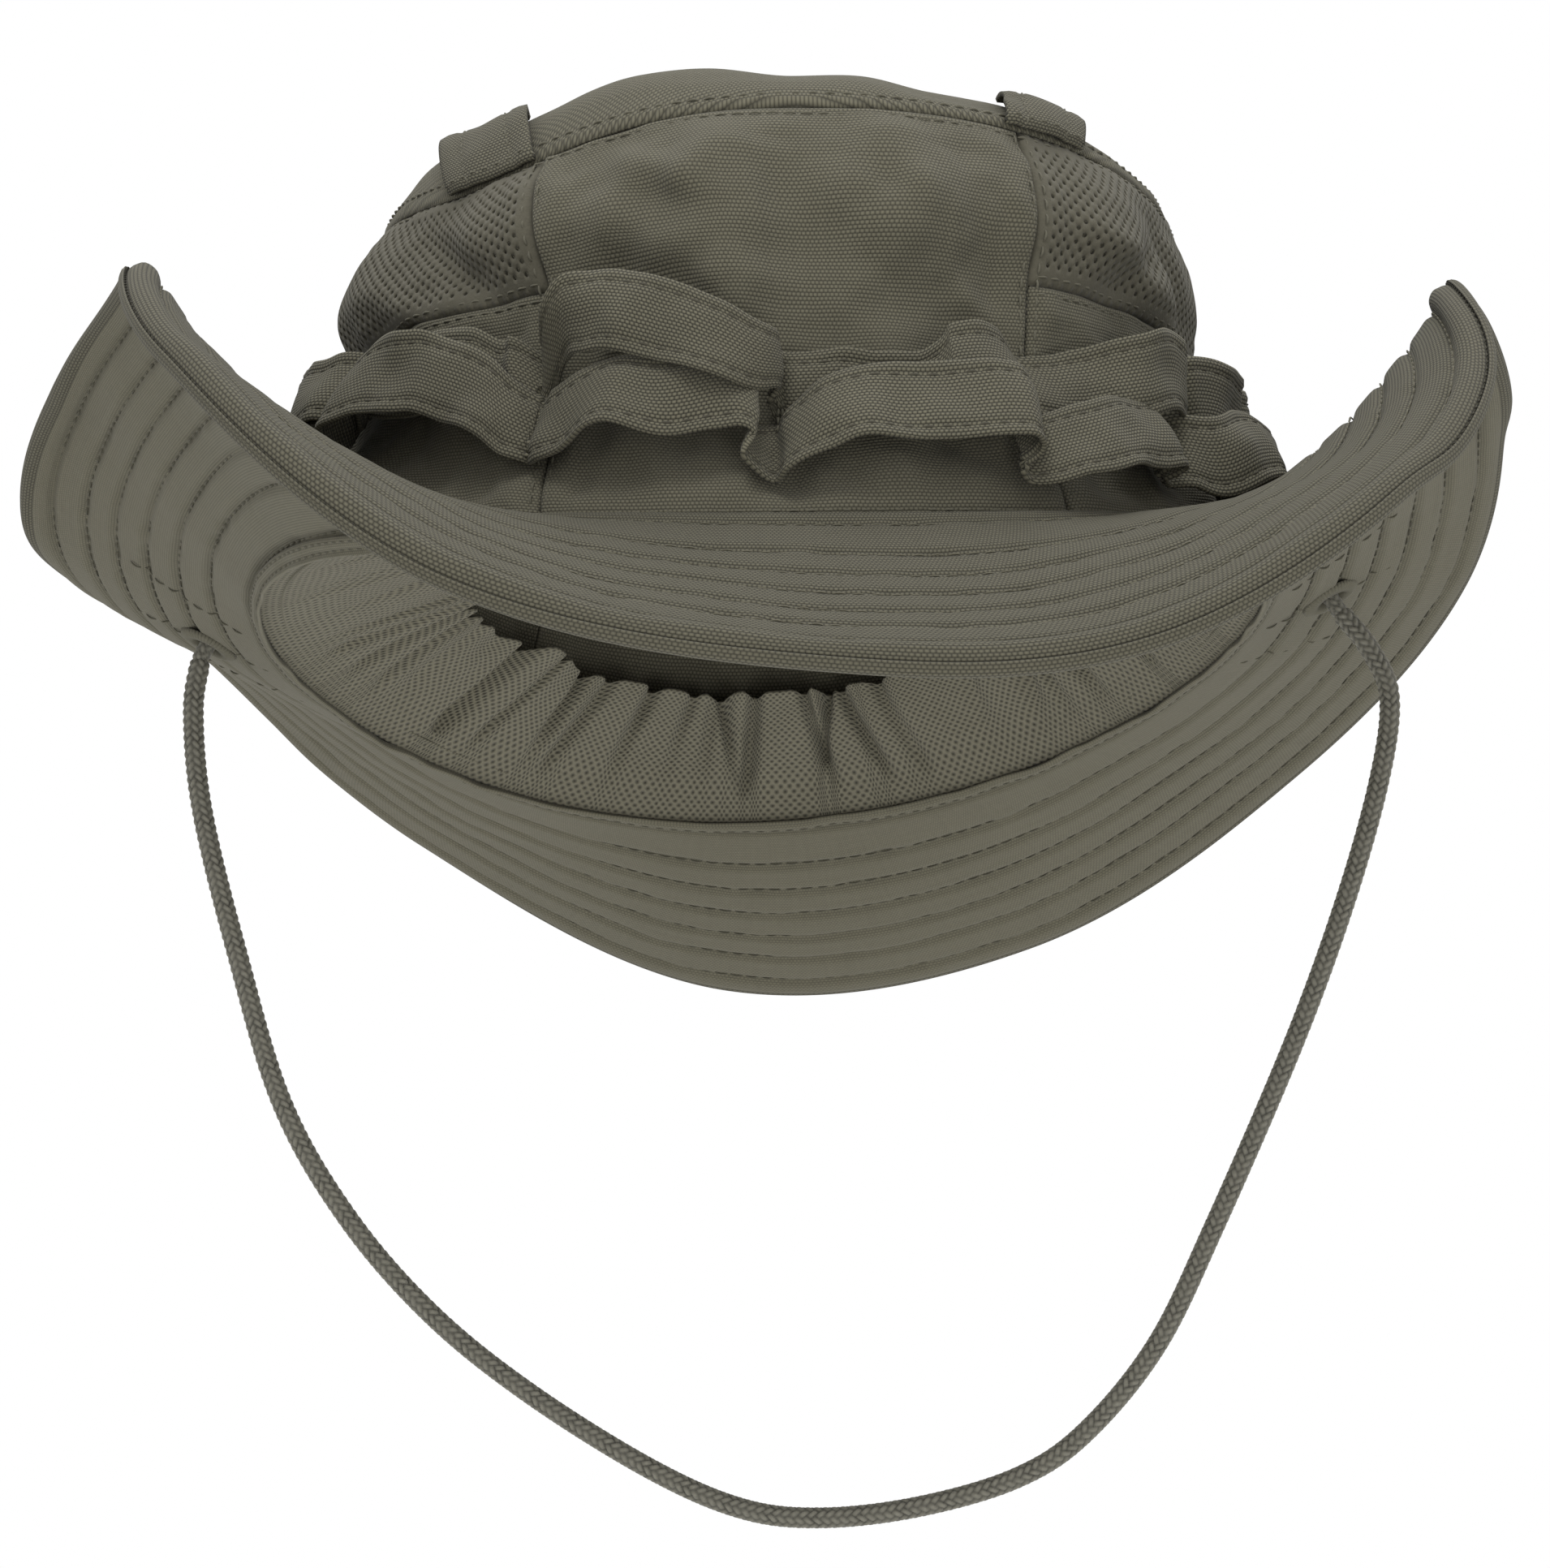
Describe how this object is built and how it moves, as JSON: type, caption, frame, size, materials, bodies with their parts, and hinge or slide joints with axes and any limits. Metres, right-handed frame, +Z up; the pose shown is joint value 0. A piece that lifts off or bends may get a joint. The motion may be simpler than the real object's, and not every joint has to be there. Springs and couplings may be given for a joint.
{
  "type": "boonie hat",
  "caption": "Soft olive boonie hat: mesh-vented crown, looped foliage bands, stitched brim with turned-up sides, mesh sweatband and hanging chin cord.",
  "frame": {"origin": "middle of the head opening, level with the lowest points of its edge at front and back", "axes": "+Z up through the crown, -Y towards the front of the hat, +Y towards its back, +X to the right of someone who looks at its front"},
  "size_m": [0.2666, 0.3068, 0.2413],
  "materials": {
    "olive_canvas": "coarse woven cotton canvas, matt, topstitched",
    "olive_twill": "finer cotton cloth, matt",
    "olive_vent_mesh": "knitted mesh with rows of small round holes",
    "olive_sweatband_mesh": "soft knitted mesh, gathered",
    "brim_felt": "stiff non-woven interlining, hidden",
    "olive_thread": "sewing thread a little lighter than the cloth",
    "olive_braid": "braided cord, herringbone surface"
  },
  "bodies": {
    "hat": {"brim_top_ply": "olive_canvas", "brim_interlining": "brim_felt", "brim_under_ply": "olive_twill", "crown_front_panel": "olive_canvas", "crown_rear_panel": "olive_canvas", "crown_side_left": "olive_canvas", "crown_side_right": "olive_canvas", "vent_mesh_left": "olive_vent_mesh", "vent_mesh_right": "olive_vent_mesh", "crown_top_panel": "olive_canvas", "foliage_band_lower": "olive_canvas", "foliage_band_upper": "olive_canvas", "top_loop_left": "olive_canvas", "top_loop_right": "olive_canvas", "sweatband_mesh": "olive_sweatband_mesh", "sweatband_tape": "olive_twill", "cord_eyelet_left": "olive_thread", "cord_eyelet_right": "olive_thread", "cord_end_left": "olive_braid", "cord_end_right": "olive_braid", "band_tack_01": "olive_thread", "band_tack_02": "olive_thread", "band_tack_03": "olive_thread", "band_tack_04": "olive_thread", "band_tack_05": "olive_thread", "band_tack_06": "olive_thread", "band_tack_07": "olive_thread", "band_tack_08": "olive_thread", "band_tack_09": "olive_thread", "band_tack_10": "olive_thread", "band_tack_11": "olive_thread", "band_tack_12": "olive_thread"},
    "cord": {"chin_cord": "olive_braid"}
  },
  "joints": [
    {"name": "cord_swing", "type": "hinge", "parent": "hat", "child": "cord", "pos_m": [-0.09893, 0.04576, 0.01649], "axis": [0.9951, -0.0982, 0.007], "range_deg": [-75, 75]}
  ]
}
